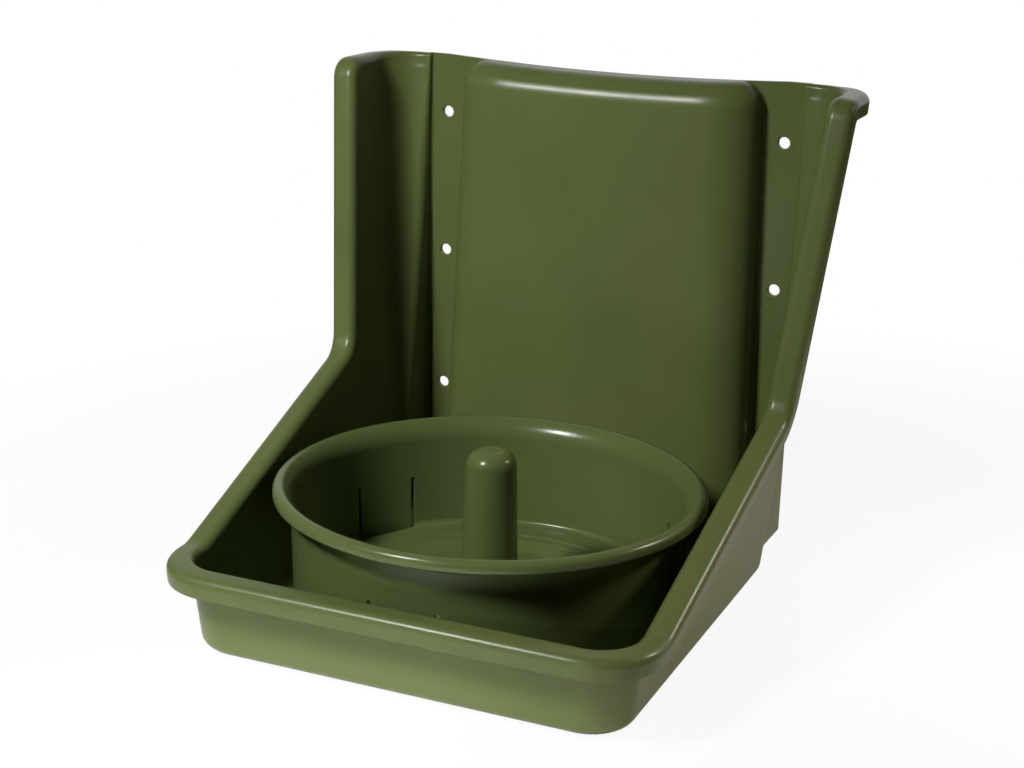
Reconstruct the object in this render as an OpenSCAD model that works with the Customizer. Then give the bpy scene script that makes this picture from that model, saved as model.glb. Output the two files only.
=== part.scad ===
// Wall-hung mineral feeder: a moulded tray with side wings and a raised back, and a round
// lick bowl that stands in it. Front faces -Y, the wall is at +Y, the tray stands on Z = 0.

/* [Bowl] */
// Diameter over the bowl's rolled rim
bowl_rim_d = 290; // [260:1:320]
// Height of the bowl from its foot to the crest of the rim
bowl_h = 91; // [80:1:110]
// Overhang of the rim beyond the foot of the bowl wall
rim_overhang = 14; // [11:0.5:20]
// Outward lean of the bowl wall, degrees
bowl_draft = 1.6; // [0.5:0.1:2]
// Thickness of the bowl's skin
bowl_wall = 3; // [2:0.1:4]
// Steepness of the flared rim, degrees from level
flare_angle = 42; // [35:1:55]
// Radius where the wall turns into the flare
flare_r = 17; // [8:1:18]
// Radius over the crest of the rim
crest_r = 5; // [4.2:0.1:7]
// Depth of the lip that hangs from the crest
bowl_lip_h = 7; // [6:0.1:10]

/* [Bowl floor] */
// Height of the outer floor above the foot
bowl_floor_h = 12; // [10:0.5:16]
// Diameter inside which the floor is one small step lower
ring_d = 214; // [204:1:224]
// Depth of that small step
ring_step = 1; // [0.4:0.1:1.5]
// Diameter at the top of the recess round the post
recess_d = 197; // [180:1:202]
// Depth of the recess below the inner floor
recess_depth = 5.5; // [3:0.1:6]
// Run of the sloping side of the recess
recess_run = 9.5; // [5:0.5:14]

/* [Post] */
// Diameter of the post where it leaves the recess
post_base_d = 41; // [34:1:48]
// Taper of the post, degrees
post_taper = 2; // [1:0.1:2.5]
// Height of the post's tip above the bowl's foot
post_h = 112.6; // [100:0.2:130]
// Rounding over the top of the post
post_round = 11; // [7:0.5:12]
// Rounding where the post meets the recess
post_fillet = 4; // [2:0.5:6]

/* [Tongues] */
// Direction of the first tongue, degrees from the right-hand side
tongue_start = 30; // [20:1:40]
// Half of the angle between the two slits of a pair
slit_half_angle = 10.2; // [8:0.1:13]
// Width of a slit
slit_w = 1.8; // [1:0.1:3]
// Height of the slit ends above the bowl's foot
slit_top = 48.5; // [40:0.5:55]
// Diameter of the round stop at the end of a slit
slit_stop_d = 3.6; // [3.2:0.1:5]
// Gap between a tongue's foot and the tray floor
tongue_lift = 1.5; // [1:0.1:3]
// Gap between the bowl floor and the inside of a tongue
tongue_gap = 1.2; // [0.8:0.1:2]

/* [Tray] */
// Thickness of the housing's skin
wall = 3.5; // [2.5:0.1:4]
// Thickness of the tray floor
floor_t = 4; // [3:0.1:5]
// Gap between the bowl rim and each side wall, at the height of the rim
side_gap = 7.5; // [5:0.5:20]
// Gap between the bowl rim and the back of the front wall, seen from above
front_gap = 1.5; // [1:0.5:10]
// Gap between the bowl rim and the face of the back panel
rear_gap = 22.5; // [15:0.5:40]
// Outward lean of the front and side walls, degrees
tray_draft = 5.1; // [4:0.1:6]
// Backward lean of the rear wall, degrees
rear_draft = 4.5; // [3.5:0.1:4.8]
// Outside corner radius of the tray, seen from above
corner_r = 29.5; // [22:0.5:34]
// Rounding of the tray's bottom edge
foot_r = 9; // [5:0.5:12]

/* [Rim and wings] */
// Width of the rim outside the walls
rim_w = 15.5; // [12:0.5:20]
// Rounding of the rim's inner edge
rim_in_r = 6; // [4.5:0.5:7]
// Rounding of the rim's outer edge
rim_out_r = 6; // [4.5:0.5:7]
// Depth of the lip that hangs from the rim
lip_h = 13; // [9:0.5:14]
// Height of the rim across the front
front_rim_h = 62; // [50:1:75]
// Length of level rim behind each front corner
level_run = 1.5; // [0.5:0.5:15]
// Slope of the side rims, degrees
rim_slope = 20; // [16:0.5:23]
// Height of the wings and the back
overall_h = 348; // [320:1:400]
// Depth of the wings along their top edge
wing_depth = 70; // [62:1:80]
// Backward lean of the wings' front edge, degrees
wing_lean = 9.3; // [8:0.1:10.5]
// Bend radius where the level rim starts to climb
climb_r = 30; // [20:1:60]
// Bend radius between side rim and wing
wing_bend_r = 22; // [15:1:30]
// Corner radius at the top of the wing
wing_top_r = 16; // [14.5:0.5:20]
// Dip of the top edge at the middle of the back
top_dip = 4; // [2:0.2:6]

/* [Back] */
// Distance from a row of screw holes to the outside of the side wall, at the top
row_inset = 48.5; // [47:0.5:60]
// Distance from the highest holes to the top edge
screw_top = 43; // [38:1:60]
// Height of the lowest holes
screw_low = 92; // [80:1:100]
// Diameter of the screw holes
screw_d = 8.5; // [5:0.5:10]
// Distance from a hole row to the panel side, at the top
strip_in = 16.5; // [12:0.5:18]
// Distance from a hole row to the outer side of its strip
strip_out = 13.5; // [8:0.5:14.5]
// Height at which the screw strips end behind the tray
strip_foot = 12; // [8:1:25]
// Rise of the strip's lower end from the wall to the tray, degrees
strip_end_slope = 15; // [8:1:20]
// Depth from the wall to the face of the back panel, at the height of the bowl rim
panel_depth = 36; // [30:0.5:45]
// Backward lean of the panel face, degrees
panel_lean = 0.8; // [0.4:0.1:1.5]
// Taper of the panel's sides, degrees
panel_taper = 1.5; // [1:0.1:1.8]
// Rounding of the panel's edges
panel_r = 18; // [12:1:20]
// Height above which the panel is hollow behind
panel_hollow_h = 26; // [24:1:60]

/* [Hidden] */
olive = [0.23, 0.30, 0.12];
olive_light = [0.29, 0.37, 0.16];
olive_tongue = [0.33, 0.41, 0.19];
olive_floor = [0.26, 0.34, 0.14];

eps = 0.01;
slice_t = 0.2;
bend_steps = 8;
foot_steps = 4;
hull_fn = 48;
panel_fn = 32;
// Share of a domed top's radius that stays flat
dome_flat = 0.15;
dip_fn = 360;
$fn = 96;
tongue_pitch = 120;
rim_fn = 32;
// Set-off that keeps the rim's root proud of the wall it grows from
rim_proud = 0.08;
// Lap of a straight run of rim into the bend beside it, and its set-in there
run_lap = 0.3;
run_set_in = 0.03;
// Depth of that root below the rounded edge
rim_root = 4;
// Parting gap between the wall, the floor and the post of the bowl, which is one moulding
seam = 0.04;

rim_r = bowl_rim_d / 2;
bowl_foot_d = bowl_rim_d - 2 * rim_overhang;
screw_pitch = (overall_h - screw_top - screw_low) / 2;
bowl_rim_z = floor_t + bowl_h - crest_r;
rim_reach = (rim_w - rim_out_r) * cos(tray_draft) + rim_out_r * (1 - sin(tray_draft));
overall_d = rim_reach + wall + front_gap + bowl_rim_d + rear_gap + panel_depth;
wall_y = overall_d / 2;
front_y = -overall_d / 2;
bowl_y = front_y + rim_reach + wall + front_gap + rim_r;
base_half = rim_r + side_gap + wall - bowl_rim_z * tan(tray_draft);
strip_y = wall_y - wall;
wing_top_y = wall_y - wing_depth;
screw_x = half_w(overall_h) - row_inset;
dip_r = (pow(screw_x, 2) + pow(top_dip, 2)) / (2 * top_dip);
rear_base = strip_y - overall_h * tan(rear_draft);

// Unit vector at an angle in a profile plane
function heading(a) = [cos(a), sin(a)];

// Line given as a point and an angle, moved to its right
function shifted(line, d) = [line[0] + d * heading(line[1] - 90), line[1]];

function cross2(p, q) = p[0] * q[1] - p[1] * q[0];

// Point where two such lines cross
function meet(m, n) =
    m[0] + heading(m[1]) * cross2(n[0] - m[0], heading(n[1])) / cross2(heading(m[1]), heading(n[1]));

// Arc of radius r that rounds the corner c between two headings
function turn(c, a0, a1, r) =
    let (s = sign(a1 - a0))
    let (start = c - heading(a0) * r * tan(abs(a1 - a0) / 2))
    let (centre = start + r * heading(a0 + 90 * s))
    [for (k = [0:bend_steps]) centre - r * heading(a0 + (a1 - a0) * k / bend_steps + 90 * s)];

// Rounded path along a list of lines, set off to its right by d
function path(lines, radii, d) = [
    for (i = [0:len(radii) - 1])
        let (a0 = lines[i][1])
        let (a1 = lines[i + 1][1])
        let (r = max(radii[i] + d * sign(a1 - a0), eps))
        each turn(meet(shifted(lines[i], d), shifted(lines[i + 1], d)), a0, a1, r)
];

function reversed(list) = [for (i = [len(list) - 1:-1:0]) list[i]];

// Housing

function half_w(z) = base_half + z * tan(tray_draft);
function tray_front(z) = front_y + rim_reach + (front_rim_h - z) * tan(tray_draft);
function tray_rear(z) = rear_base + z * tan(rear_draft);

// Plan outline of the tray at a height, grown or shrunk by g
module tray_slice(z, g) {
    for (side = [-1, 1])
        for (y = [tray_front(z) + corner_r, tray_rear(z) - corner_r])
            translate([side * (half_w(z) - corner_r), y, z])
                cylinder(r = corner_r + g, h = slice_t, $fn = hull_fn);
}

// Drafted tub from base up past the top edge, with a rounded foot of radius r
module tub(g, base, r) {
    hull() {
        for (k = [0:foot_steps]) {
            a = 90 * k / foot_steps;
            tray_slice(base + r * (1 - cos(a)), g - r * (1 - sin(a)));
        }
        tray_slice(overall_h + wall, g);
    }
}

// Rim line of a side wall, seen square to that wall: distance back, distance up the wall
front_turn_y = tray_front(front_rim_h) + corner_r;
rear_turn_y = tray_rear(overall_h) - corner_r;
front_up = front_rim_h / cos(tray_draft);
top_up = overall_h / cos(tray_draft);
climb_y = front_turn_y + level_run + climb_r * tan(rim_slope / 2);
rim_lines = [
    [[climb_y, front_up], 0],
    [[climb_y, front_up], rim_slope],
    [[wing_top_y, top_up], 90 - wing_lean],
    [[wing_top_y, top_up], 0]
];
rim_radii = [climb_r, wing_bend_r, wing_top_r];

function rim_corner(i) = meet(rim_lines[i], rim_lines[i + 1]);
function rim_tangent(i) = rim_radii[i] * tan(abs(rim_lines[i + 1][1] - rim_lines[i][1]) / 2);
run_starts = concat([[front_turn_y, front_up]],
    [for (i = [0:2]) rim_corner(i) + rim_tangent(i) * heading(rim_lines[i + 1][1])]);
run_ends = concat([for (i = [0:2]) rim_corner(i) - rim_tangent(i) * heading(rim_lines[i][1])],
    [[rear_turn_y, top_up]]);

// Everything behind the rim line, seen from the side, set back by d
module side_region(d) {
    far = 2 * overall_d;
    points = concat([[-far, front_up - d]], path(rim_lines, rim_radii, d),
        [[far, top_up - d], [far, -far], [-far, -far]]);
    rotate([90, 0, 90])
        linear_extrude(height = 2 * overall_d, center = true)
            polygon(points);
}

// Block that keeps its full height behind the panel and the screw strips
module back_region() {
    half = screw_x + strip_out;
    translate([-half, wall_y - 2 * panel_depth, overall_h - 2 * panel_r])
        cube([2 * half, 2 * panel_depth, 2 * panel_r]);
}

// Outline over the rim with both edges rounded, shrunk by g
module rim_outline(g) {
    left = -wall - rim_proud + g;
    right = rim_w - g;
    r0 = max(rim_in_r - g, eps);
    r1 = max(rim_out_r - g, eps);
    depth = 2 * rim_w;
    translate([left + r0, -g - r0])
        circle(r = r0, $fn = rim_fn);
    translate([right - r1, -g - r1])
        circle(r = r1, $fn = rim_fn);
    translate([left + r0, -depth])
        square([right - r1 - left - r0, depth - g]);
    translate([left, -depth])
        square([r0 + eps, depth - g - r0]);
    translate([right - r1 - eps, -depth])
        square([r1 + eps, depth - g - r1]);
}

// Section of the rim: root in the wall, face, and lip that hangs from the outer edge, set in by g
module rim_section(g) {
    root = rim_in_r + rim_root - g;
    lip = lip_h - g;
    middle = rim_w / 2;
    intersection() {
        difference() {
            rim_outline(g);
            rim_outline(wall + 2 * rim_proud - g);
        }
        union() {
            translate([-rim_w, -root])
                square([rim_w + middle, 2 * root]);
            translate([middle - eps, -lip])
                square([rim_w, 2 * lip]);
        }
    }
}

// Straight run of rim with its section turned by a, lapped into the bends at both ends
module straight_rim(length, a) {
    translate([0, 0, -run_lap])
        linear_extrude(height = length + 2 * run_lap)
            rotate(a)
                rim_section(run_set_in);
}

// Straight run of rim along a side wall
module rim_run(p, q) {
    a = atan2(q[1] - p[1], q[0] - p[0]);
    translate([0, q[0], q[1]])
        rotate([90 + a, 0, 0])
            straight_rim(norm(q - p), 0);
}

// Bend of the rim in the plane of a side wall
module rim_bend(c, a0, a1, r) {
    s = sign(a1 - a0);
    centre = c - r * tan(abs(a1 - a0) / 2) * heading(a0) + r * heading(a0 + 90 * s);
    translate([0, centre[0], centre[1]])
        rotate([90, 0, 90])
            rotate([0, 0, min(a0, a1) - 90 * s])
                rotate_extrude(angle = abs(a1 - a0))
                    translate([r, 0])
                        mirror([s < 0 ? 0 : 1, 0])
                            mirror([1, -1])
                                rim_section(0);
}

// Quarter turn of the rim round a corner of the tray
module rim_quarter(y, z, start) {
    translate([half_w(z) - corner_r, y, z])
        rotate([0, 0, start])
            rotate_extrude(angle = 90)
                translate([corner_r, 0])
                    rotate(-tray_draft)
                        rim_section(0);
}

// Rim of the right-hand side, from the front corner to the screw strip
module side_rim() {
    strip_x = screw_x + strip_out + wall / 2;
    rear_run = half_w(overall_h) - corner_r - strip_x;
    rim_quarter(front_turn_y, front_rim_h, -90);
    translate([base_half, 0, 0])
        rotate([0, tray_draft, 0]) {
            for (i = [0:3])
                rim_run(run_starts[i], run_ends[i]);
            for (i = [0:2])
                rim_bend(rim_corner(i), rim_lines[i][1], rim_lines[i + 1][1], rim_radii[i]);
        }
    rim_quarter(rear_turn_y, overall_h, 0);
    translate([strip_x, tray_rear(overall_h), overall_h])
        rotate([90, 0, 90])
            straight_rim(rear_run, -tray_draft);
}

module rim() {
    front_run = half_w(front_rim_h) - corner_r;
    translate([front_run, tray_front(front_rim_h), front_rim_h])
        rotate([90, 0, -90])
            straight_rim(2 * front_run, -tray_draft);
    side_rim();
    mirror([1, 0, 0])
        side_rim();
}

// Upright round edge of the panel with a domed top, as a stack of thin discs
module panel_edge(x, y_low, y_top, r) {
    translate([side_shift(x), y_low, -2 * panel_r])
        cylinder(r = r, h = slice_t, $fn = panel_fn);
    for (k = [0:foot_steps]) {
        a = 90 * k / foot_steps;
        translate([x, y_top, overall_h - panel_r + r * sin(a) - slice_t])
            cylinder(r = r * max(cos(a), dome_flat), h = slice_t, $fn = panel_fn);
    }
}

// Sideways place of a panel edge at its lower end, for its place x at the top
function side_shift(x) = x + sign(x) * overall_h * tan(panel_taper);

// Raised centre of the back; skin 0 gives its face, skin = wall the hollow behind it
module panel_form(skin) {
    x = screw_x - strip_in - panel_r;
    y_low = wall_y - panel_depth + panel_r - bowl_rim_z * tan(panel_lean);
    y_top = y_low + overall_h * tan(panel_lean);
    hull() {
        for (side = [-1, 1])
            for (back = [0, panel_depth])
                panel_edge(side * x, y_low + back, y_top + back, panel_r - skin);
    }
}

// Back edge of the panel's top, carried to the wall
module top_shelf() {
    half = screw_x - strip_in;
    depth = top_dip + 2 * wall;
    translate([-half, wall_y - 2 * wall, overall_h - depth])
        cube([2 * half, 2 * wall, depth]);
}

// Shallow dip along the top edge of the back
module top_dip_cut(skin) {
    translate([0, 0, overall_h - top_dip + dip_r])
        rotate([90, 0, 0])
            cylinder(r = dip_r + skin, h = 2 * overall_d, center = true, $fn = dip_fn);
}

// Upright channel behind one screw strip, seen from the side and drawn out sideways
module strip_channel(x0, x1, y1, foot, top) {
    y0 = wall_y - 2 * panel_depth;
    rise = (wall_y - y0) * tan(strip_end_slope);
    translate([x0, 0, 0])
        rotate([90, 0, 90])
            linear_extrude(height = x1 - x0)
                polygon([[y0, foot + rise], [y1, foot + (wall_y - y1) * tan(strip_end_slope)],
                    [y1, top], [y0, top]]);
}

module screw_strips(outer) {
    skin = outer ? wall : 0;
    foot = strip_foot + (outer ? 0 : wall);
    top = outer ? overall_h : overall_h + wall;
    inner_x = screw_x - strip_in - panel_r;
    for (side = [0, 1])
        mirror([side, 0, 0])
            strip_channel(inner_x, screw_x + strip_out + skin, strip_y + skin, foot, top);
}

module screw_holes() {
    for (x = [-screw_x, screw_x])
        for (row = [0:2])
            translate([x, strip_y - wall, screw_low + row * screw_pitch])
                rotate([-90, 0, 0])
                    cylinder(d = screw_d, h = 3 * wall);
}

// Space inside the tray, between the wings and in the screw strips
module inner_space() {
    difference() {
        union() {
            tub(-wall, floor_t, foot_r - wall / 2);
            screw_strips(false);
        }
        panel_form(0);
    }
}

// Hollow behind the back panel, open to the wall
module panel_hollow() {
    difference() {
        panel_form(wall);
        translate([-overall_d, -overall_d, -overall_h])
            cube([2 * overall_d, 2 * overall_d, overall_h + panel_hollow_h]);
        top_dip_cut(wall);
    }
}

// Everything on the wall's side of the wall plane
module behind_wall() {
    translate([-overall_d, wall_y, -overall_h])
        cube([2 * overall_d, overall_d, 3 * overall_h]);
}

module housing() {
    color(olive) {
        difference() {
            union() {
                intersection() {
                    tub(0, 0, foot_r);
                    union() {
                        side_region(rim_in_r + rim_root / 2);
                        back_region();
                    }
                }
                screw_strips(true);
                top_shelf();
            }
            inner_space();
            panel_hollow();
            screw_holes();
            top_dip_cut(0);
            behind_wall();
        }
        difference() {
            rim();
            behind_wall();
        }
    }
}

// Bowl

function bowl_outer_r(z) = bowl_foot_d / 2 + z * tan(bowl_draft);
function bowl_inner_r(z) = bowl_outer_r(z) - bowl_wall;

crest = [rim_r - crest_r, bowl_h - crest_r];
bowl_lines = [
    [[bowl_inner_r(0), 0], 90 - bowl_draft],
    [crest + crest_r * heading(flare_angle + 90), flare_angle],
    [[rim_r, bowl_h], -90]
];
bowl_radii = [flare_r, crest_r];

inner_floor = bowl_floor_h - ring_step;
recess_floor = inner_floor - recess_depth;
post_r = post_base_d / 2;

post_lines = [
    [[recess_d / 2, recess_floor], 180],
    [[post_r, recess_floor], 90 + post_taper],
    [[0, post_h], 180]
];
post_radii = [post_fillet, post_round];

// Upper surface of the floor between wall and post, or its underside for d = bowl_wall
function floor_path(d) = [
    [bowl_inner_r(bowl_floor_h - d) - seam, bowl_floor_h - d],
    [ring_d / 2 + d / 2, bowl_floor_h - d],
    [ring_d / 2 - ring_step + d / 2, inner_floor - d],
    [recess_d / 2 + d / 2, inner_floor - d],
    [recess_d / 2 - recess_run + d / 2, recess_floor - d],
    [post_path(d)[0][0] + seam, recess_floor - d]
];

// Surface of the post from the recess to the axis, or its underside for d = bowl_wall
function post_path(d) = concat(path(post_lines, post_radii, -d), [[0, post_h - d]]);

// Section of the bowl's wall with its flared rim and hanging lip
module wall_section() {
    lip_z = bowl_h - bowl_lip_h;
    points = concat(
        [[bowl_outer_r(0), 0]],
        path(bowl_lines, bowl_radii, bowl_wall),
        [[rim_r - bowl_wall, lip_z], [rim_r, lip_z]],
        reversed(path(bowl_lines, bowl_radii, 0)),
        [[bowl_inner_r(0), 0]]
    );
    polygon(points);
}

// Pie-shaped slice that holds one tongue and half of each slit beside it
module tongue_sector(r0, r1, z0, z1) {
    a = slit_half_angle;
    reach = 2 * r1;
    difference() {
        intersection() {
            translate([0, 0, z0])
                cylinder(r = r1, h = z1 - z0);
            translate([0, 0, z0])
                linear_extrude(height = z1 - z0)
                    polygon([[0, 0], reach * heading(-a), reach * heading(a)]);
        }
        translate([0, 0, z0 - 1])
            cylinder(r = r0, h = z1 - z0 + 2);
    }
}

// The two slits at the sides of one tongue, each with a round stop at its end
module slit_pair() {
    depth = 4 * bowl_wall;
    r0 = bowl_inner_r(0) - tongue_gap;
    for (side = [-1, 1])
        rotate([0, 0, side * slit_half_angle]) {
            translate([r0, -slit_w / 2, -1])
                cube([depth, slit_w, slit_top + 1]);
            translate([r0, 0, slit_top])
                rotate([0, 90, 0])
                    cylinder(d = slit_stop_d, h = depth);
        }
}

function tongue_angle(i) = tongue_start + tongue_pitch * i;

// Turned form of the bowl in its place in the tray, open at the three tongues
module turned_in_tray() {
    translate([0, bowl_y, floor_t])
        difference() {
            rotate_extrude()
                children();
            for (i = [0:2])
                rotate([0, 0, tongue_angle(i)]) {
                    tongue_sector(bowl_inner_r(0) - tongue_gap, rim_r, -1, slit_top);
                    slit_pair();
                }
        }
}

module bowl() {
    color(olive_light)
        turned_in_tray()
            wall_section();
}

module bowl_floor() {
    color(olive_floor)
        turned_in_tray()
            polygon(concat(floor_path(0), reversed(floor_path(bowl_wall))));
}

module bowl_post() {
    color(olive_light)
        translate([0, bowl_y, floor_t])
            rotate_extrude()
                polygon(concat(post_path(0), reversed(post_path(bowl_wall))));
}

// Strip of bowl wall between two slits, joined to the wall along its top edge
module tongue(i) {
    color(olive_tongue)
        translate([0, bowl_y, floor_t])
            rotate([0, 0, tongue_angle(i)])
                difference() {
                    intersection() {
                        rotate_extrude()
                            polygon([
                                [bowl_inner_r(tongue_lift), tongue_lift],
                                [bowl_outer_r(tongue_lift), tongue_lift],
                                [bowl_outer_r(slit_top), slit_top],
                                [bowl_inner_r(slit_top), slit_top]
                            ]);
                        tongue_sector(rim_r / 2, rim_r, 0, slit_top);
                    }
                    slit_pair();
                }
}

module tongue_right() { tongue(0); }
module tongue_left() { tongue(1); }
module tongue_front() { tongue(2); }

housing();
bowl();
bowl_floor();
bowl_post();
tongue_front();
tongue_left();
tongue_right();
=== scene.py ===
import math

import bmesh
import bpy
from mathutils import Matrix, Vector


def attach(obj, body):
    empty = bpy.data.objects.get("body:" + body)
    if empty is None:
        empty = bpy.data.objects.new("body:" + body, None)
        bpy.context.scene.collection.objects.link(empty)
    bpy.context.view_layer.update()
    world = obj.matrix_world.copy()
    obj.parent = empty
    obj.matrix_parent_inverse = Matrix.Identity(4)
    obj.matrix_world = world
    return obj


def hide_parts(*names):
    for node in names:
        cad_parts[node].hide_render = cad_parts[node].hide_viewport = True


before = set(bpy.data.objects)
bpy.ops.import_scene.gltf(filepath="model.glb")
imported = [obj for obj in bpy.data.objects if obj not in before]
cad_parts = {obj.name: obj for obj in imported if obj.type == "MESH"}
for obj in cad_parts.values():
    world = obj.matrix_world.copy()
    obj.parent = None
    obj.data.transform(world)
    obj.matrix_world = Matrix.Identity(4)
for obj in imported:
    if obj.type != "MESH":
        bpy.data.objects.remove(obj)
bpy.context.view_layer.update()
mm = 0.001
joinDist, tiny = 1e-5, 1e-6  # points this close are joined, and what is thinner than tiny is dropped
print("frame loaded")


# small helpers for lines and meshes

def rotated(v, a):
    return Vector((v.x * math.cos(a) - v.y * math.sin(a), v.x * math.sin(a) + v.y * math.cos(a)))


def meet(p, a, q, b):
    # crossing of two lines, each a point and an angle in degrees
    u = Vector((math.cos(math.radians(a)), math.sin(math.radians(a))))
    v = Vector((math.cos(math.radians(b)), math.sin(math.radians(b))))
    w = Vector(q) - Vector(p)
    t = (w.x * v.y - w.y * v.x) / (u.x * v.y - u.y * v.x)
    return Vector(p) + u * t


def roundedLine(points, radii, steps, fill):
    # open line with rounded corners, as (point, heading) pairs; the count never changes with the sizes
    pts = [Vector(p) for p in points]
    heads = [(b - a).normalized() for a, b in zip(pts, pts[1:])]
    out = [(pts[0], heads[0])]
    end = pts[0]
    for k in range(1, len(pts)):
        last = k == len(pts) - 1
        before = heads[k - 1]
        start = pts[k]
        if not last:
            after = heads[k]
            bend = math.atan2(before.x * after.y - before.y * after.x, before.dot(after))
            reach = radii[k - 1] * math.tan(abs(bend) / 2)
            start = pts[k] - before * reach
        for n in range(fill[k - 1]):
            out.append((end.lerp(start, (n + 1) / (fill[k - 1] + 1)), before))
        if last:
            out.append((start, before))
            break
        side = 1 if bend > 0 else -1
        centre = start + Vector((-before.y, before.x)) * side * radii[k - 1]
        for n in range(steps[k - 1] + 1):
            a = bend * n / steps[k - 1]
            out.append((centre + rotated(start - centre, a), rotated(before, a)))
        end = pts[k] + after * reach
    return out


def quads(bm, rows, closed=False):
    for a, b in zip(rows, rows[1:]):
        count = len(a) if closed else len(a) - 1
        for k in range(count):
            n = (k + 1) % len(a)
            ring = []
            for v in (a[k], a[n], b[n], b[k]):
                if v not in ring:
                    ring.append(v)
            if len(ring) > 2 and bm.faces.get(ring) is None:
                bm.faces.new(ring)


def meshObject(bm, name, smooth=True):
    mesh = bpy.data.meshes.new(name)
    for f in bm.faces:
        f.smooth = smooth
    bm.to_mesh(mesh)
    bm.free()
    obj = bpy.data.objects.new(name, mesh)
    bpy.context.scene.collection.objects.link(obj)
    return obj


def addMod(obj, kind, name, **values):
    mod = obj.modifiers.new(name, kind)
    for key, value in values.items():
        setattr(mod, key, value)
    return mod


def cutBy(obj, cutter):
    # cuts at once and throws the cutter away
    mod = addMod(obj, "BOOLEAN", "cut", operation="DIFFERENCE", solver="EXACT", object=cutter)
    bpy.context.view_layer.objects.active = obj
    bpy.ops.object.modifier_apply(modifier=mod.name)
    bpy.data.objects.remove(cutter)


def weighEdges(obj, limit, skip):
    # joins double points and marks the sharp edges that get a small bevel, except those that skip picks out
    bm = bmesh.new()
    bm.from_mesh(obj.data)
    bmesh.ops.remove_doubles(bm, verts=bm.verts[:], dist=joinDist)
    bmesh.ops.dissolve_degenerate(bm, edges=bm.edges[:], dist=tiny)
    layer = bm.edges.layers.float.new("bevel_weight_edge")
    for e in bm.edges:
        sharp = len(e.link_faces) == 2 and e.calc_face_angle() > math.radians(limit)
        e[layer] = 1.0 if sharp and not skip(e) else 0.0
        if sharp and skip(e):
            e.smooth = False
    bm.to_mesh(obj.data)
    bm.free()


# housing: one sheet for the right half, mirrored and given its thickness

housing = {
    "wall": 3.5, "floorZ": 4.0, "footR": 5.5, "floorEdge": 4.0,
    "baseHalf": 147.968, "rearBase": 153.327, "sideLean": 5.1, "rearLean": 4.5,
    "cornerR": 29.5, "frontRimY": -169.2855, "frontRimZ": 62.0, "topZ": 348.0, "wallY": 184.2145,
    "rimW": 15.5, "rimR": 6.0, "rimEndR": 3.0, "lip": 13.0, "rimDrop": 8.0,
    "rimLine": [(-139.786, 62.246), (-132.996, 62.246), (79.88, 139.73), (114.22, 349.383), (151.2145, 349.383)],
    "rimBends": [30.0, 22.0, 16.0],
    "stripX": 144.026, "stripY": 180.7145, "stripFoot": 20.0, "stripR": 3.0,
    "columnR": 8.0, "columnTopR": 2.6, "columnEnd": 3.4, "cornerEnd": 7.0,
    "panelX": 114.026, "panelY": 151.816, "panelR": 18.0, "panelSide": (38.0, 25.0),
    "panelTaper": 0.0249, "panelLean": 0.01328,
    "dip": 4.0, "dipHalf": 130.5, "dipFrom": 300.0,
    "screwX": 130.526, "screwZ": (92.0, 198.5, 305.0), "screwR": 4.25, "screwFrame": 7.5, "holeTurns": 48,
    "mouth": [(2.6, -2.0), (0.6, 0.0), (0.0, 0.6), (0.0, 8.0)],  # past the hole's radius, past the strip's face
    "bevel": 0.6, "bevelRoom": 1.5, "sharp": 50.0,
}


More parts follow.
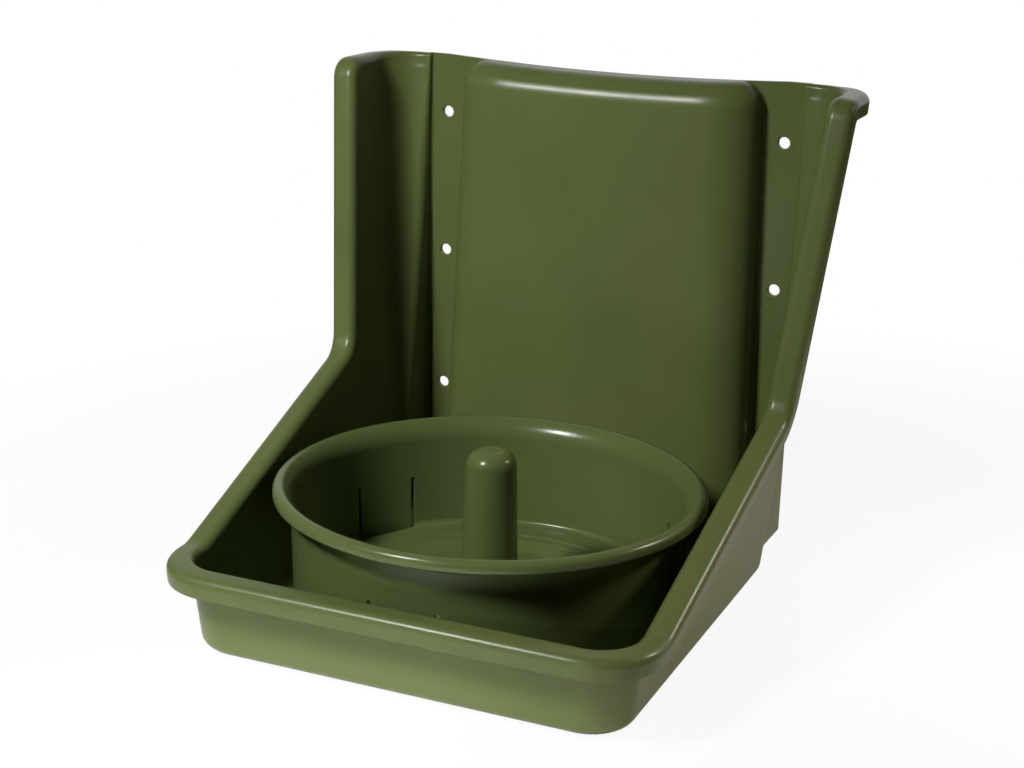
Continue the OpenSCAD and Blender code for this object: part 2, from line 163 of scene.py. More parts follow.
def makeHousing(h):
    wall, cornerR = h["wall"], h["cornerR"]
    inR = cornerR - wall
    lean = math.radians(h["sideLean"])
    c, s, tanSide = math.cos(lean), math.sin(lean), math.tan(lean)
    tanRear = math.tan(math.radians(h["rearLean"]))
    topZ, frontZ = h["topZ"], h["frontRimZ"]
    domeZ = topZ - h["panelR"]

    def halfW(z):
        return h["baseHalf"] + z * tanSide

    def rearY(z):
        return h["rearBase"] + z * tanRear

    def frontY(z):
        return h["frontRimY"] + (frontZ - z) * tanSide

    bm = bmesh.new()

    # how finely each form is divided
    rollSteps, frontCount, cornerCount, cornerCols = 6, 8, 12, 14
    edgeSteps, roundCols, panelCols, wallRows, footSteps = 6, 9, 11, 8, 6

    def vert(x, y, z):
        return bm.verts.new((x * mm, y * mm, z * mm))

    def rimSection(w, rIn, rOut, lip):
        # up from the wall's inside, over the roll and down the lip
        pts = [(-wall, -h["rimDrop"])]
        for k in range(rollSteps + 1):
            a = math.pi * (1 - k / (2 * rollSteps))
            pts.append((-wall + rIn + rIn * math.cos(a), -rIn + rIn * math.sin(a)))
        for k in range(rollSteps + 1):
            a = math.pi * (0.5 - k / (2 * rollSteps))
            pts.append((w - rOut + rOut * math.cos(a), -rOut + rOut * math.sin(a)))
        return pts + [(w, -0.75 * lip), (w, -lip)]

    full = rimSection(h["rimW"], h["rimR"], h["rimR"], h["lip"])
    rim = []

    # across the front and round the front corner
    frontEnd = halfW(frontZ) - cornerR
    for k in range(frontCount):
        x = frontEnd * k / frontCount
        rim.append([vert(x, h["frontRimY"] - a * c - b * s, frontZ - a * s + b * c) for a, b in full])
    for k in range(cornerCount):
        phi = math.radians(-90 + 90 * k / cornerCount)
        row = []
        for a, b in full:
            reach = cornerR + a * c + b * s
            row.append(vert(frontEnd + reach * math.cos(phi), h["frontRimY"] + cornerR + reach * math.sin(phi),
                            frontZ - a * s + b * c))
        rim.append(row)
    sideFirst = len(rim)

    # up the side in the plane of the wall
    line = roundedLine(h["rimLine"], h["rimBends"], [8, 8, 8], [0, 10, 10, 3])
    for p, head in line:
        row = []
        for a, b in full:
            w = p.y + b * head.x
            row.append(vert(h["baseHalf"] + a * c + w * s, p.x - b * head.y, -a * s + w * c))
        rim.append(row)
    sideLast = len(rim) - 1

    # heights of the rows behind the side wall
    levels = [9.5, 14, 19, 21, 24, 30, 40, 55, 70, 84.5, 99.5, 120, 145, 170, 191, 206, 230, 255, 280, 297.5,
              312.5, 323, 330, 333, 336, 338.5]
    top = len(levels)
    levels = levels + [topZ - h["rimDrop"]]
    bottomCount = sideLast - sideFirst - top

    # outline of the inside from the rear corner to the middle of the panel

    def rearCorner(z, endX, inset, radius):
        # points on the corner's arc and the short straight after it, evenly spaced
        cx, cy = halfW(z) - cornerR, rearY(z) - cornerR
        r = radius - inset
        if endX > cx:
            stop = math.acos(min(1.0, (endX - cx) / r))
            run = 0.0
        else:
            stop = math.pi / 2
            run = cx - endX
        total = r * stop + run
        pts = []
        for k in range(cornerCols):
            d = total * k / (cornerCols - 1)
            if run == 0.0 or d <= r * stop:
                a = d / r
                pts.append(Vector((cx + r * math.cos(a), cy + r * math.sin(a))))
            else:
                pts.append(Vector((cx - (d - r * stop), cy + r)))
        return pts, stop

    def panelAt(z):
        inset = 0.0
        if z > domeZ:
            inset = h["panelR"] - math.sqrt(max(0.0, h["panelR"] ** 2 - (z - domeZ) ** 2))
        x = h["panelX"] + max(0.0, domeZ - z) * h["panelTaper"] - inset
        y = h["panelY"] - max(0.0, domeZ - z) * h["panelLean"] + inset
        return x, y, h["panelSide"][0] - inset, h["panelSide"][1] - inset

    channelHead = edgeSteps + 15  # points before the panel's rounded edge
    panelTurns = [math.pi / 2 * k / (roundCols - 1) for k in range(roundCols)]

    def channel(z, mid, r0, begin):
        # round edge of the corner column about mid, then the strip and the panel to its middle
        px, py, rx, ry = panelAt(z)
        r1 = min(h["stripR"], 0.9 * (h["stripY"] - mid.y))
        pts = []
        for k in range(edgeSteps + 1):
            a = begin + (-math.pi - begin) * k / edgeSteps
            pts.append(mid + r0 * Vector((math.cos(a), math.sin(a))))
        line = [(h["stripX"], mid.y), (h["stripX"], h["stripY"]), (px, h["stripY"]), (px, py + ry)]
        out = [p for p, a in roundedLine(line, [r1, h["stripR"]], [3, 3], [1, 3, 2])]
        out += [Vector((px - rx + rx * math.cos(t), py + ry - ry * math.sin(t))) for t in panelTurns[1:]]
        out += [Vector(((px - rx) * (1 - (k + 1) / panelCols), py)) for k in range(panelCols)]
        # the strip's columns frame the holes
        left = max(h["screwX"] - h["screwFrame"], px + h["stripR"] + 0.4)
        for k, x in ((6, h["screwX"] + h["screwFrame"]), (7, h["screwX"]), (8, left)):
            out[k] = Vector((x, h["stripY"]))
        return pts + out[1:]

    def backRow(z):
        # the hollow corner runs into the column's round edge without a kink
        cx, cy = halfW(z) - cornerR, rearY(z) - cornerR
        depth = h["stripY"] - cy - inR
        r1 = min(h["stripR"], 0.45 * depth)
        a, b = h["stripX"] - cx, h["stripY"] - r1 - cy
        r0 = (b * b + a * a - inR * inR) / (2 * inR - 2 * a) if a < inR else h["columnR"]
        if h["stripX"] + r0 < cx:
            r0 = b - inR
        r0 = min(r0, h["columnR"])
        run = h["stripX"] + r0 - cx
        if run < 0:
            mid = Vector((h["stripX"] + r0, cy + inR + r0))
            begin = -math.pi / 2
        else:
            mid = Vector((h["stripX"] + r0, cy + math.sqrt((inR + r0) ** 2 - run ** 2)))
            begin = math.atan2(cy - mid.y, cx - mid.x)
        endX = cx + run * inR / (inR + r0) if run > 0 else h["stripX"] + r0
        pts = rearCorner(z, endX, 0, inR)[0]
        pts[-1] = pts[-1].lerp(pts[-2], 0.3)  # off the column's first point
        return pts + channel(z, mid, r0, begin)

    def lowRow(z, inset):
        # below the strips' foot the outline runs on round the corner to the panel
        pts, stop = rearCorner(z, h["stripX"] + h["cornerEnd"], inset, inR)
        cx, cy = halfW(z) - cornerR, rearY(z) - cornerR
        r = inR - inset
        px, py, rx, ry = panelAt(z)
        rear = cy + r
        mid = Vector((px - rx, py - inset + ry))
        begin = math.asin(min(1.0, (mid.y - rear) / ry))
        meetX = mid.x + rx * math.cos(begin)
        turns = [t for t in panelTurns if t > begin]
        arc = r * (math.pi / 2 - stop)
        total = arc + cx - meetX
        count = channelHead + roundCols - len(turns)
        for k in range(count):
            d = total * (k + 1) / (count + 1)
            if d < arc:
                a = stop + d / r
                pts.append(Vector((cx + r * math.cos(a), cy + r * math.sin(a))))
            else:
                pts.append(Vector((cx - (d - arc), rear)))
        pts += [mid + Vector((rx * math.cos(t), -ry * math.sin(t))) for t in turns]
        for k in range(panelCols):
            pts.append(Vector((mid.x * (1 - (k + 1) / panelCols), py - inset)))
        return pts

    def dipped(x, z):
        # the top edge sags a little between the strips
        ramp = min(1.0, max(0.0, (z - h["dipFrom"]) / (topZ - h["dipFrom"])))
        side = max(0.0, 1 - (x / h["dipHalf"]) ** 2)
        return z - h["dip"] * side * ramp * ramp * (3 - 2 * ramp)

    # rim round the rear corner, narrower towards the wall so that it stays in front of it
    outer = rearCorner(topZ, h["stripX"] + h["columnEnd"], 0, cornerR)[0]
    cx, cy = halfW(topZ) - cornerR, rearY(topZ) - cornerR
    for k in range(1, cornerCols):
        p = outer[k]
        out = (p - Vector((cx, cy))).normalized() if p.x > cx else Vector((0, 1))
        room = (h["wallY"] - p.y) / max(out.y, 0.05)
        w = min(h["rimW"], room)
        t = k / (cornerCols - 1)
        rIn = h["rimR"] * (1 - t) + h["rimEndR"] * t
        rOut = min(h["rimR"], 0.45 * (w + wall))
        row = []
        for a, b in rimSection(w, rIn, rOut, h["lip"]):
            push = a * c + b * s * (1 - t)
            y = min(p.y + out.y * push, h["wallY"])
            row.append(vert(p.x + out.x * push, y, topZ - a * s * (1 - t) + b * c))
        rim.append(row)
    quads(bm, rim)

    # back: rows 0 to top, whose last row takes its corner from the rim
    back = []
    for j, z in enumerate(levels):
        pts = lowRow(z, 0) if z < h["stripFoot"] else backRow(z)
        row = [vert(p.x, p.y, dipped(p.x, z)) for p in pts]
        if j == top:
            for k in range(cornerCols):
                bm.verts.remove(row[k])
                row[k] = rim[sideLast + k][0]
        back.append(row)
    quads(bm, back)

    # strip and panel above the corner's last row, up to the top edge
    upper = [back[-1][cornerCols - 1:]]
    lastRim = rim[-1]
    for k in range(1, rollSteps + 2):
        p = lastRim[k].co / mm
        z = p.z
        y = min(p.y, h["stripY"] - 0.4)
        r0 = min(h["columnTopR"], 0.5 * (h["stripY"] - y))
        pts = channel(z, Vector((h["stripX"] + r0, y + r0)), r0, -math.pi / 2)
        upper.append([lastRim[k]] + [vert(q.x, q.y, dipped(q.x, z)) for q in pts])
    quads(bm, upper)

    # level top from the edge of the strip and the panel's rounded edge back to the wall
    ridge = upper[-1]
    faceStart = 1 + channelHead + roundCols - 1
    front = ridge[faceStart:]
    patch = [front]
    for k in (channelHead, channelHead - 1, channelHead - 2):
        y = ridge[k].co.y / mm
        patch.append([ridge[k]] + [vert(v.co.x / mm, y, dipped(v.co.x / mm, topZ)) for v in front[1:]])
    ledge = [vert(v.co.x / mm, h["wallY"], v.co.z / mm) for v in ridge[:channelHead - 1]]
    patch.append([ledge[-1]] + [vert(v.co.x / mm, h["wallY"], dipped(v.co.x / mm, topZ)) for v in front[1:]])
    quads(bm, patch)
    quads(bm, [ridge[:channelHead - 1], ledge])
    bm.faces.new(ridge[channelHead:faceStart + 1])

    # foot of the walls: where each station of the rim lands
    travel = [0.0]
    for k in range(sideFirst, sideFirst + bottomCount):
        travel.append(travel[-1] + (line[k - sideFirst + 1][0] - line[k - sideFirst][0]).length)

    def footRing(z, inset):
        pts = []
        endX = halfW(z) - cornerR
        y = frontY(z) + wall + inset
        for k in range(frontCount):
            pts.append((endX * k / frontCount, y))
        r = inR - inset
        for k in range(cornerCount):
            phi = math.radians(-90 + 90 * k / cornerCount)
            pts.append((endX + r * math.cos(phi), frontY(z) + cornerR + r * math.sin(phi)))
        y0, y1 = frontY(z) + cornerR, rearY(z) - cornerR
        for k in range(bottomCount):
            pts.append((endX + r, y0 + (y1 - y0) * travel[k] / travel[-1]))
        return [vert(x, y, z) for x, y in pts]

    footR, floorZ = h["footR"], h["floorZ"]
    foot = footRing(levels[0], 0)

    # walls between rim and foot
    columns = []
    for k in range(sideLast + 1):
        low = foot[k] if k < sideFirst + bottomCount else back[k - sideFirst - bottomCount][0]
        high = rim[k][0]
        column = [high]
        for n in range(1, wallRows):
            p = high.co.lerp(low.co, n / wallRows)
            column.append(bm.verts.new(p) if low is not high else high)
        columns.append(column + [low])
    quads(bm, columns)

    # rounded foot and floor
    rings = [foot + back[0]]
    for k in range(1, footSteps + 1):
        a = math.radians(90 * k / footSteps)
        z, inset = floorZ + footR * (1 - math.sin(a)), footR * (1 - math.cos(a))
        rings.append(footRing(z, inset) + [vert(p.x, p.y, z) for p in lowRow(z, inset)])
    inset = footR + h["floorEdge"]
    rings.append(footRing(floorZ, inset) + [vert(p.x, p.y, floorZ) for p in lowRow(floorZ, inset)])
    quads(bm, rings)
    bm.faces.new(rings[-1])

    for v in bm.verts:
        if abs(v.co.x) < tiny:
            v.co.x = 0.0
    bmesh.ops.remove_doubles(bm, verts=bm.verts[:], dist=2 * joinDist)
    bmesh.ops.dissolve_degenerate(bm, edges=bm.edges[:], dist=tiny)
    bmesh.ops.holes_fill(bm, edges=bm.edges[:], sides=4)
    bmesh.ops.recalc_face_normals(bm, faces=bm.faces[:])
    floorFace = max(bm.faces, key=lambda f: f.calc_area())
    if floorFace.normal.z < 0:
        bmesh.ops.reverse_faces(bm, faces=bm.faces[:])
    obj = meshObject(bm, "housingShell")
    group = obj.vertex_groups.new(name="skin")
    for v in obj.data.vertices:
        group.add([v.index], 1.0 if v.co.z < (floorZ + 0.05) * mm else wall / floorZ, "REPLACE")
    addMod(obj, "MIRROR", "bothSides", use_clip=True, merge_threshold=2 * joinDist)
    addMod(obj, "SOLIDIFY", "skin", thickness=floorZ * mm, offset=-1, use_even_offset=True,
           use_quality_normals=True, vertex_group="skin")
    return obj


def holeCutter(h):
    bm = bmesh.new()
    mouth, turns = h["mouth"], h["holeTurns"]
    profile = [(0, mouth[0][1])] + [(h["screwR"] + q, d) for q, d in mouth] + [(0, mouth[-1][1])]
    for side in (-1, 1):
        for z in h["screwZ"]:
            rows = []
            for k in range(turns):
                a = 2 * math.pi * k / turns
                u, v = math.cos(a), math.sin(a)
                rows.append([bm.verts.new(((side * h["screwX"] + q * u) * mm, (h["stripY"] + d) * mm, (z + q * v) * mm))
                             for q, d in profile])
            quads(bm, rows + [rows[0]])
    bmesh.ops.remove_doubles(bm, verts=bm.verts[:], dist=tiny)
    bmesh.ops.recalc_face_normals(bm, faces=bm.faces[:])
    return meshObject(bm, "holeCutter", False)


def crampedEdge(h, e):
    # edge beside a face too narrow for the bevel
    return min(x.calc_length() for f in e.link_faces for x in f.edges) < h["bevelRoom"] * mm


shell = makeHousing(housing)
bpy.context.view_layer.objects.active = shell
for name in ("bothSides", "skin"):
    bpy.ops.object.modifier_apply(modifier=name)
cutBy(shell, holeCutter(housing))
weighEdges(shell, housing["sharp"], lambda e: crampedEdge(housing, e))
addMod(shell, "BEVEL", "edges", width=housing["bevel"] * mm, segments=2, limit_method="WEIGHT", use_clamp_overlap=True)
addMod(shell, "WEIGHTED_NORMAL", "flats", keep_sharp=True, weight=95)
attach(shell, "housing")
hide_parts("housing")
print("housing", len(shell.data.vertices))


# bowl: revolved section with three windows, and the tongues that fill them

bowl = {
    "centre": (0.0, -19.2855, 4.0), "rimR": 145.0, "height": 91.0, "footR": 131.0, "lean": 1.6, "wall": 3.0,
    "flareAngle": 42.0, "flareR": 17.0, "crestR": 5.0, "lip": 7.0,
    "floorZ": 12.0, "floorR": 4.0, "ringR": 107.0, "ringRun": 1.0, "ringStep": 1.0, "ringEdgeR": 0.8,
    "recessR": 98.5, "recessRun": 9.5, "recessZ": 5.5, "recessTopR": 3.0, "recessFootR": 5.0, "underRun": 1.5,
    "postR": 20.5, "postLean": 2.0, "postZ": 112.6, "postTopR": 11.0, "postFootR": 4.0,
    "tongues": {"tongue_right": 30.0, "tongue_left": 150.0, "tongue_front": 270.0},
    "halfAngle": 10.2, "slitW": 2.6, "slitTop": 48.5, "stopR": 1.8, "lift": 1.5, "gap": 1.2,
    "rowGap": 0.2, "cutOut": 9.0, "cutBelow": 3.0, "bevel": 0.4, "sharp": 50.0,
    "turns": 240, "stopSteps": 11, "tongueCols": 16, "tongueRows": 8,
}


def bowlWall(b, z, skin):
    return b["footR"] - skin + z * math.tan(math.radians(b["lean"]))


def addRows(points, heights):
    # extra rows close to the tongues' roots
    out = [points[0]]
    for p, q in zip(points, points[1:]):
        between = [z for z in heights if min(p.y, q.y) < z < max(p.y, q.y)]
        for z in sorted(between, reverse=q.y < p.y):
            out.append(p.lerp(q, (z - p.y) / (q.y - p.y)))
        out.append(q)
    return out


def bowlSection(b):
    # outside from the foot to the lip, then the inside down to the floor and over the post
    up = 90 - b["lean"]
    crest = Vector((b["rimR"] - b["crestR"], b["height"] - b["crestR"]))
    flare = math.radians(b["flareAngle"])
    onFlare = crest + b["crestR"] * Vector((-math.sin(flare), math.cos(flare)))
    below = onFlare + b["wall"] * Vector((math.sin(flare), -math.cos(flare)))
    lipZ = b["height"] - b["lip"]
    w = b["wall"]
    outA = meet((b["footR"], 0), up, below, b["flareAngle"])
    outB = meet(below, b["flareAngle"], (b["rimR"] - w, 0), 90)
    inA = meet((b["footR"] - w, 0), up, onFlare, b["flareAngle"])
    inB = meet(onFlare, b["flareAngle"], (b["rimR"], 0), 90)
    outside = roundedLine([(b["footR"], 0), outA, outB, (b["rimR"] - w, lipZ)], [b["flareR"] - w, b["crestR"] - w],
                          [8, 8], [16, 0, 0])
    low = b["floorZ"] - b["ringStep"]
    postTop = b["postR"] - (b["postZ"] - b["recessZ"]) * math.tan(math.radians(b["postLean"]))
    corners = [
        (b["rimR"], lipZ), inB, inA, (bowlWall(b, b["floorZ"], w), b["floorZ"]), (b["ringR"], b["floorZ"]),
        (b["ringR"] - b["ringRun"], low), (b["recessR"], low), (b["recessR"] - b["recessRun"], b["recessZ"]),
        (b["postR"], b["recessZ"]), (postTop, b["postZ"]), (0, b["postZ"]),
    ]
    radii = [b[k] for k in ("crestR", "flareR", "floorR", "ringEdgeR", "ringEdgeR", "recessTopR", "recessFootR",
                            "postFootR", "postTopR")]
    inside = roundedLine(corners, radii, [14, 12, 6, 3, 3, 5, 6, 6, 14], [0, 0, 14, 2, 0, 1, 1, 6, 8, 3])
    run = b["underRun"]
    under = [
        (0, b["postZ"] - w), (postTop - w, b["postZ"] - w), (b["postR"] - w, b["recessZ"] - w),
        (b["recessR"] - b["recessRun"] + run, b["recessZ"] - w), (b["recessR"] + run, low - w),
        (b["ringR"] + run, b["floorZ"] - w), (bowlWall(b, b["floorZ"] - w, w), b["floorZ"] - w), (b["footR"] - w, 0),
    ]
    section = [p for p, a in outside] + [p for p, a in inside] + [Vector(p) for p in under]
    return addRows(section, [b["slitTop"] + b["rowGap"], b["slitTop"] + 2 * b["rowGap"]])


def revolve(name, points, centre, turns):
    bm = bmesh.new()
    ox, oy, oz = centre
    rows = []
    poles = {}
    for k in range(turns):
        a = 2 * math.pi * k / turns
        row = []
        for n, p in enumerate(points):
            if p.x < tiny:
                if n not in poles:
                    poles[n] = bm.verts.new((ox * mm, oy * mm, (oz + p.y) * mm))
                row.append(poles[n])
            else:
                x, y = ox + p.x * math.cos(a), oy + p.x * math.sin(a)
                row.append(bm.verts.new((x * mm, y * mm, (oz + p.y) * mm)))
        rows.append(row)
    rows.append(rows[0])
    quads(bm, rows, closed=True)
    bmesh.ops.recalc_face_normals(bm, faces=bm.faces[:])
    return meshObject(bm, name)


def tongueWindow(b, angle):
    # keyhole outline of one window: the tongue's slice, widened to the slits and their round stops
    bm = bmesh.new()
    ox, oy, oz = b["centre"]
    a = math.radians(angle)
    mid, steps = b["footR"], b["stopSteps"]
    r0, r1 = mid - b["wall"] - b["gap"], mid + b["cutOut"]
    stopX = mid * math.radians(b["halfAngle"])
    rise = math.asin(b["slitW"] / 2 / b["stopR"])
    right = [(stopX + b["slitW"] / 2, -b["cutBelow"])]
    for k in range(steps + 1):
        t = rise - math.pi / 2 + (math.pi * 1.5 - rise) * k / steps
        right.append((stopX + b["stopR"] * math.cos(t), b["slitTop"] + b["stopR"] * math.sin(t)))
    outline = [(-x, z) for x, z in right] + right[::-1]

    def place(s, z, r):
        turn = a + s / mid
        return ((ox + r * math.cos(turn)) * mm, (oy + r * math.sin(turn)) * mm, (oz + z) * mm)

    columns = []
    for r in (r0, r1):
        columns.append([bm.verts.new(place(s, z, r)) for s, z in outline])
    quads(bm, columns, closed=True)
    for ring in columns:
        bmesh.ops.triangulate(bm, faces=[bm.faces.new(ring)])
    bmesh.ops.recalc_face_normals(bm, faces=bm.faces[:])
    return meshObject(bm, "windowCutter", False)


def rootEdge(b, e):
    # edge along the root, where a tongue runs into the wall without a seam
    z = (b["centre"][2] + b["slitTop"]) * mm
    return all(abs(v.co.z - z) < 5e-5 for v in e.verts)


def makeTongue(b, name, angle):
    # a curved plate, thin at its sides by half a slit
    bm = bmesh.new()
    ox, oy, oz = b["centre"]
    a = math.radians(angle)
    mid = b["footR"]
    half = mid * math.radians(b["halfAngle"]) - b["slitW"] / 2
    cols, count, gap = b["tongueCols"], b["tongueRows"], b["rowGap"]
    heights = [b["lift"] + (b["slitTop"] - 2 * gap - b["lift"]) * k / count for k in range(count + 1)]
    heights += [b["slitTop"] - gap, b["slitTop"]]
    rows = []
    for z in heights:
        row = []
        for skin in (0, b["wall"]):
            r = bowlWall(b, z, skin)
            for k in range(cols + 1) if skin == 0 else range(cols, -1, -1):
                t = a + (-half + 2 * half * k / cols) / mid
                row.append(bm.verts.new(((ox + r * math.cos(t)) * mm, (oy + r * math.sin(t)) * mm, (oz + z) * mm)))
        rows.append(row)
    quads(bm, rows, closed=True)
    bm.faces.new(rows[0])
    bm.faces.new(rows[-1])
    bmesh.ops.recalc_face_normals(bm, faces=bm.faces[:])
    obj = meshObject(bm, name)
    weighEdges(obj, b["sharp"], lambda e: rootEdge(b, e))
    addMod(obj, "BEVEL", "edges", width=b["bevel"] * mm, segments=2, limit_method="WEIGHT")
    addMod(obj, "WEIGHTED_NORMAL", "flats", keep_sharp=True)
    return obj


dish = revolve("bowlShell", bowlSection(bowl), bowl["centre"], bowl["turns"])
for angle in bowl["tongues"].values():
    cutBy(dish, tongueWindow(bowl, angle))
weighEdges(dish, bowl["sharp"], lambda e: rootEdge(bowl, e))
addMod(dish, "BEVEL", "edges", width=bowl["bevel"] * mm, segments=2, limit_method="WEIGHT", use_clamp_overlap=True)
addMod(dish, "WEIGHTED_NORMAL", "flats", keep_sharp=True)
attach(dish, "bowl")
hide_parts(*[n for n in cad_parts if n.startswith("bowl")])
tongues = []
for node, angle in bowl["tongues"].items():
    piece = makeTongue(bowl, node + "_look", angle)
    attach(piece, node)
    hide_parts(node)
    tongues.append(piece)
print("bowl", len(dish.data.vertices))


# plastic: olive, satin, with mottling, moulding texture and worn edges

plastic = {
    "housing": {"dark": (0.094, 0.120, 0.037), "light": (0.112, 0.140, 0.044), "rough": (0.28, 0.33), "shine": 0.30},
    "bowl": {"dark": (0.089, 0.118, 0.038), "light": (0.105, 0.137, 0.045), "rough": (0.20, 0.26), "shine": 0.27},
    # scale, detail and roughness of each noise
    "clouds": (9.0, 4.0, 0.55), "scuffs": (48.0, 7.0, 0.75), "wear": (160.0, 3.0, 0.6),
    "gloss": (35.0, 5.0, 0.6), "skin": (260.0, 2.0, 0.5),
    "bump": (0.08, 0.0006),
}


def colorRamp(tree, fac, stops):
    # two stops, each a place and a colour or a grey
    r = tree.nodes.new("ShaderNodeValToRGB")
    for e, (pos, v) in zip(r.color_ramp.elements, stops):
        e.position = pos
        e.color = (*v, 1) if isinstance(v, tuple) else (v, v, v, 1)
    tree.links.new(fac, r.inputs["Fac"])
    return r.outputs["Color"]


def plasticMaterial(name, look, grain):
    mat = bpy.data.materials.new(name)
    mat.use_nodes = True
    tree = mat.node_tree
    nodes, links = tree.nodes, tree.links
    shader = nodes["Principled BSDF"]
    shader.inputs["IOR"].default_value = 1.5
    shader.inputs["Specular IOR Level"].default_value = look["shine"]
    coords = nodes.new("ShaderNodeTexCoord")

    def noise(kind):
        n = nodes.new("ShaderNodeTexNoise")
        for key, value in zip(("Scale", "Detail", "Roughness"), grain[kind]):
            n.inputs[key].default_value = value
        links.new(coords.outputs["Object"], n.inputs["Vector"])
        return n.outputs["Fac"]

    def blend(fac, a, b):
        m = nodes.new("ShaderNodeMix")
        m.data_type = "RGBA"
        links.new(fac, m.inputs[0])
        links.new(a, m.inputs[6])
        links.new(b, m.inputs[7])
        return m.outputs[2]

    cloud = colorRamp(tree, noise("clouds"), [(0.3, look["dark"]), (0.72, look["light"])])
    pale = tuple(min(1.0, v * 1.7 + 0.02) for v in look["light"])
    worn = colorRamp(tree, noise("wear"), [(0.35, look["light"]), (0.75, pale)])
    geo = nodes.new("ShaderNodeNewGeometry")
    edge = colorRamp(tree, geo.outputs["Pointiness"], [(0.515, 0.0), (0.56, 0.28)])
    scuffs = colorRamp(tree, noise("scuffs"), [(0.66, 0.0), (0.78, 0.4)])
    color = blend(scuffs, blend(edge, cloud, worn), worn)
    links.new(color, shader.inputs["Base Color"])
    lo, hi = look["rough"]
    links.new(colorRamp(tree, noise("gloss"), [(0.3, lo), (0.7, hi)]), shader.inputs["Roughness"])
    bump = nodes.new("ShaderNodeBump")
    bump.inputs["Strength"].default_value, bump.inputs["Distance"].default_value = grain["bump"]
    links.new(noise("skin"), bump.inputs["Height"])
    links.new(bump.outputs["Normal"], shader.inputs["Normal"])
    return mat


housingPlastic = plasticMaterial("oliveHousing", plastic["housing"], plastic)
bowlPlastic = plasticMaterial("oliveBowl", plastic["bowl"], plastic)
shell.data.materials.append(housingPlastic)
for obj in [dish] + tongues:
    obj.data.materials.append(bowlPlastic)
print("materials")


# white floor that keeps the shadow, dark again some way off so that the panel doesn't mirror it

stage = {"half": 9.0, "cells": 12, "centre": (0.12, 0.10), "reach": 0.75, "paint": 0.9, "far": 0.05, "seen": 0.90}


def makeFloor(t):
    bm = bmesh.new()
    n = t["cells"]
    step = 2 * t["half"] / n
    ticks = [-t["half"] + k * step for k in range(n + 1)]
    quads(bm, [[bm.verts.new((x, y, 0)) for x in ticks] for y in ticks])
    bmesh.ops.recalc_face_normals(bm, faces=bm.faces[:])
    obj = meshObject(bm, "floor")
    mat = bpy.data.materials.new("floorWhite")
    mat.use_nodes = True
    tree = mat.node_tree
    nodes, links = tree.nodes, tree.links
    nodes.clear()
    coords = nodes.new("ShaderNodeTexCoord")
    place = nodes.new("ShaderNodeMapping")
    place.inputs["Location"].default_value = (-t["centre"][0] / t["reach"], -t["centre"][1] / t["reach"], 0)
    place.inputs["Scale"].default_value = (1 / t["reach"], 1 / t["reach"], 1)
    links.new(coords.outputs["Object"], place.inputs["Vector"])
    near = nodes.new("ShaderNodeTexGradient")
    near.gradient_type = "SPHERICAL"
    links.new(place.outputs["Vector"], near.inputs["Vector"])

    paint = nodes.new("ShaderNodeBsdfDiffuse")
    links.new(colorRamp(tree, near.outputs["Fac"], [(0.03, t["far"]), (0.26, t["paint"])]), paint.inputs["Color"])
    white = nodes.new("ShaderNodeEmission")
    white.inputs["Strength"].default_value = 1.0
    faded = nodes.new("ShaderNodeMixShader")
    links.new(colorRamp(tree, near.outputs["Fac"], [(0.0, 1.0), (0.55, t["seen"])]), faded.inputs[0])
    links.new(paint.outputs[0], faded.inputs[1])
    links.new(white.outputs[0], faded.inputs[2])
    path = nodes.new("ShaderNodeLightPath")
    seen = nodes.new("ShaderNodeMixShader")
    links.new(path.outputs["Is Camera Ray"], seen.inputs[0])
    links.new(paint.outputs[0], seen.inputs[1])
    links.new(faded.outputs[0], seen.inputs[2])
    out = nodes.new("ShaderNodeOutputMaterial")
    links.new(seen.outputs[0], out.inputs["Surface"])
    obj.data.materials.append(mat)
    return obj


floor = makeFloor(stage)


# light: a lamp at the front left, a warm one at the right and a low one for the front, dark surroundings

lamps = [
    {"name": "key", "place": (-0.38, -0.76, 0.88), "aim": (-0.09, 0.04, 0.16), "size": (0.20, 0.20), "spread": 80.0,
     "power": 2.7, "color": (1.0, 1.0, 1.0)},
    {"name": "side", "place": (0.85, 0.45, 0.75), "aim": (0.60, 0.15, 0.0), "size": (0.2, 0.2), "spread": 75.0,
     "power": 1.9, "color": (1.0, 0.86, 0.74)},
    {"name": "low", "place": (-0.02, -1.05, 0.30), "aim": (-0.02, -0.53, 0.0), "size": (0.36, 0.04), "spread": 30.0,
     "power": 1.5, "color": (1.0, 1.0, 1.0)},
]


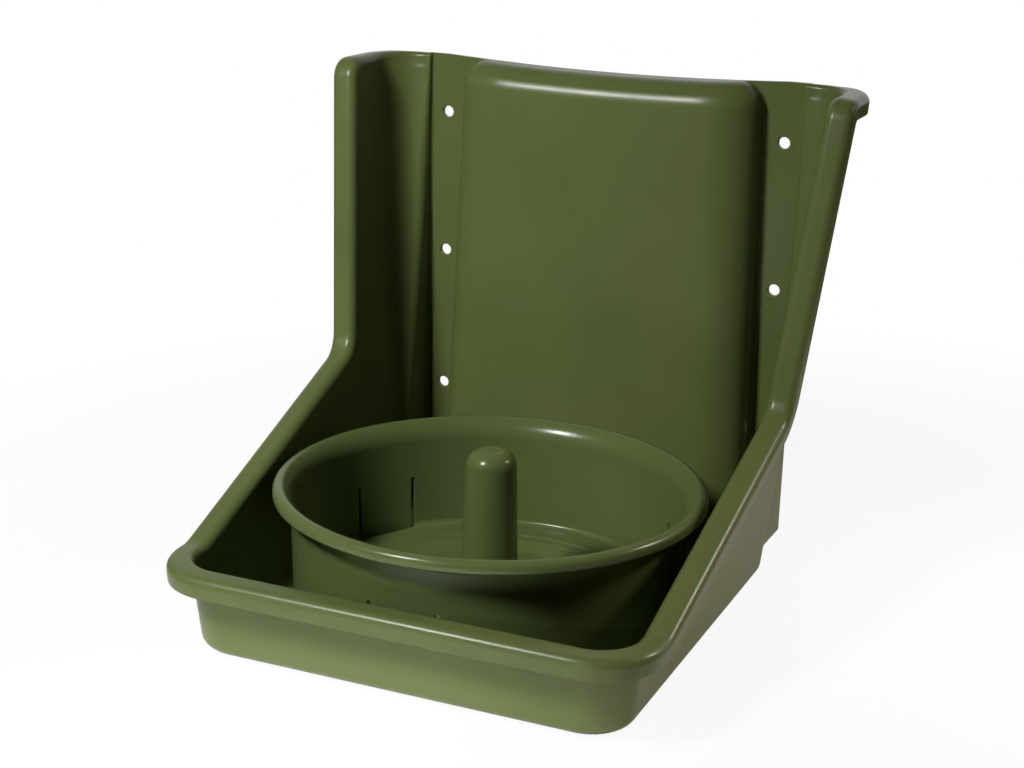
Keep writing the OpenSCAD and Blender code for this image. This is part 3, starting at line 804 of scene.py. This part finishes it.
def addLamp(t):
    data = bpy.data.lights.new(t["name"], "AREA")
    data.shape = "RECTANGLE"
    data.size, data.size_y = t["size"]
    data.energy = t["power"]
    data.color = t["color"]
    data.spread = math.radians(t["spread"])
    obj = bpy.data.objects.new(t["name"], data)
    obj.location = t["place"]
    obj.rotation_euler = (Vector(t["aim"]) - Vector(t["place"])).to_track_quat("-Z", "Y").to_euler()
    obj.visible_camera = False
    bpy.context.scene.collection.objects.link(obj)


for lamp in lamps:
    addLamp(lamp)

# dark in front, some light from behind for the back of the housing, white where the camera sees it
surroundings = [(0.30, 0.004), (1.0, 0.90)]
scene = bpy.context.scene
world = bpy.data.worlds.new("surroundings")
scene.world = world
world.use_nodes = True
nodes, links = world.node_tree.nodes, world.node_tree.links
dim = nodes["Background"]
coords = nodes.new("ShaderNodeTexCoord")
turned = nodes.new("ShaderNodeSeparateXYZ")
links.new(coords.outputs["Generated"], turned.inputs[0])
links.new(colorRamp(world.node_tree, turned.outputs["Y"], surroundings), dim.inputs["Color"])
white = nodes.new("ShaderNodeBackground")
white.inputs["Color"].default_value = (1, 1, 1, 1)
path = nodes.new("ShaderNodeLightPath")
seen = nodes.new("ShaderNodeMixShader")
links.new(path.outputs["Is Camera Ray"], seen.inputs[0])
links.new(dim.outputs[0], seen.inputs[1])
links.new(white.outputs[0], seen.inputs[2])
links.new(seen.outputs[0], nodes["World Output"].inputs["Surface"])
scene.view_settings.view_transform = "Standard"
print("light")


# camera where the photograph was taken from

view = {"place": (468.998, -1095.797, 518.619), "yaw": 22.953, "pitch": 16.863, "roll": 1.684, "focal": 65.668}


def addCamera(t):
    yaw, pitch, roll = (math.radians(t[k]) for k in ("yaw", "pitch", "roll"))
    ahead = Vector((-math.sin(yaw) * math.cos(pitch), math.cos(yaw) * math.cos(pitch), -math.sin(pitch)))
    level = Vector((math.cos(yaw), math.sin(yaw), 0))
    above = level.cross(ahead)
    right = level * math.cos(roll) + above * math.sin(roll)
    up = above * math.cos(roll) - level * math.sin(roll)
    data = bpy.data.cameras.new("camera")
    data.sensor_fit = "HORIZONTAL"
    data.sensor_width = 36.0
    data.lens = t["focal"]
    obj = bpy.data.objects.new("camera", data)
    turn = Matrix((right, up, -ahead)).transposed().to_4x4()
    turn.translation = Vector(t["place"]) * mm
    obj.matrix_world = turn
    bpy.context.scene.collection.objects.link(obj)
    bpy.context.scene.camera = obj


addCamera(view)
print("camera")
